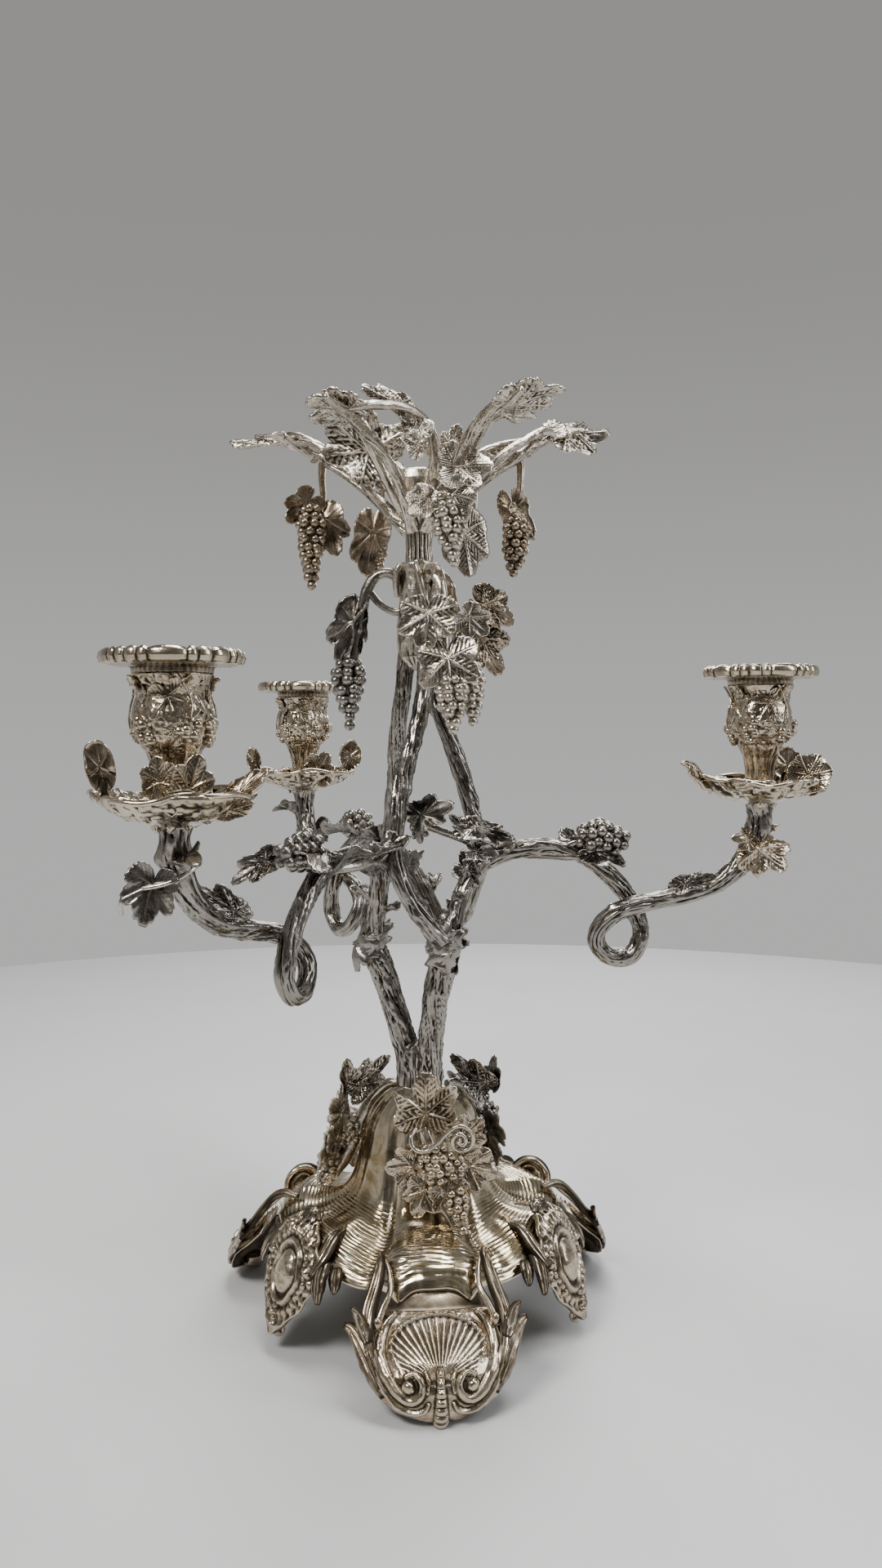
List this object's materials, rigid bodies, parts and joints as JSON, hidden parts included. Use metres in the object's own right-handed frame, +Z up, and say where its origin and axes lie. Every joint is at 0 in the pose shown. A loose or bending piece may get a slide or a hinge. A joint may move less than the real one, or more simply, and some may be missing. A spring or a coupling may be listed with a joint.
{
  "type": "grapevine candelabrum",
  "caption": "Silvered grapevine candelabrum: shell-footed dome, twisted vine stem, looping arms with candle sockets and lift-out drip pans, and a lift-off branch frame for a bowl.",
  "frame": {"origin": "on the stem axis at the surface that the feet stand on", "axes": "+Z up, -Y through the front shell foot, +X to the right of it"},
  "size_m": [0.3791, 0.3997, 0.501],
  "materials": {
    "gilded_silver": "polished, patchy yellow tarnish",
    "aged_silver": "cast relief, brown tarnish in the hollows",
    "dark_silver": "dark grey patina, bright on the ridges",
    "champagne_silver": "satin, warm, dark in the hollows",
    "bright_silver": "bright, granulated",
    "silver_wire": "polished wire",
    "steel": "plain turned steel"
  },
  "bodies": {
    "stand": {"base_body": "gilded_silver", "shell_foot_front": "aged_silver", "shell_foot_right": "aged_silver", "shell_foot_left": "aged_silver", "scroll_mount_right": "aged_silver", "scroll_mount_back": "aged_silver", "scroll_mount_left": "aged_silver", "dome_spray_front": "aged_silver", "dome_spray_right": "aged_silver", "dome_spray_left": "aged_silver", "wire_tendrils": "silver_wire", "tie_rod": "steel", "tie_washer": "steel", "tie_nut": "steel", "stem_root": "dark_silver", "vine_a": "dark_silver", "vine_b": "dark_silver", "vine_c": "dark_silver", "leaf_joint_a": "dark_silver", "leaf_joint_b": "dark_silver", "leaf_joint_c": "dark_silver", "stem_collar": "bright_silver", "collar_drop_front": "bright_silver", "collar_drop_right": "bright_silver", "collar_drop_left": "bright_silver", "arm_right": "dark_silver", "arm_front_left": "dark_silver", "arm_back_left": "dark_silver", "arm_grapes_right": "dark_silver", "arm_grapes_front_left": "dark_silver", "arm_grapes_back_left": "dark_silver", "arm_leaves_right": "dark_silver", "arm_leaves_front_left": "dark_silver", "arm_leaves_back_left": "dark_silver", "saucer_right": "champagne_silver", "saucer_front_left": "champagne_silver", "saucer_back_left": "champagne_silver", "socket_screws": "steel", "socket_right": "champagne_silver", "socket_front_left": "champagne_silver", "socket_back_left": "champagne_silver"},
    "drip_pan_right": {"drip_pan_right": "champagne_silver"},
    "drip_pan_front_left": {"drip_pan_front_left": "champagne_silver"},
    "drip_pan_back_left": {"drip_pan_back_left": "champagne_silver"},
    "bowl_frame": {"basket_hub": "bright_silver", "basket_cup": "bright_silver", "branch_1": "bright_silver", "branch_2": "bright_silver", "branch_3": "bright_silver", "branch_4": "bright_silver", "branch_5": "bright_silver", "branch_6": "bright_silver", "basket_links": "bright_silver", "hub_spray": "bright_silver", "hanging_cluster_1": "bright_silver", "hanging_cluster_2": "bright_silver", "hanging_cluster_3": "bright_silver", "hanging_cluster_4": "bright_silver"}
  },
  "joints": [
    {"name": "lift_drip_pan_right", "type": "slide", "parent": "stand", "child": "drip_pan_right", "axis": [0, 0, 1], "range_m": [0, 0.035]},
    {"name": "lift_drip_pan_back_left", "type": "slide", "parent": "stand", "child": "drip_pan_back_left", "axis": [0, 0, 1], "range_m": [0, 0.035]},
    {"name": "lift_drip_pan_front_left", "type": "slide", "parent": "stand", "child": "drip_pan_front_left", "axis": [0, 0, 1], "range_m": [0, 0.035]},
    {"name": "lift_bowl_frame", "type": "slide", "parent": "stand", "child": "bowl_frame", "axis": [0, 0, 1], "range_m": [0, 0.04]}
  ]
}
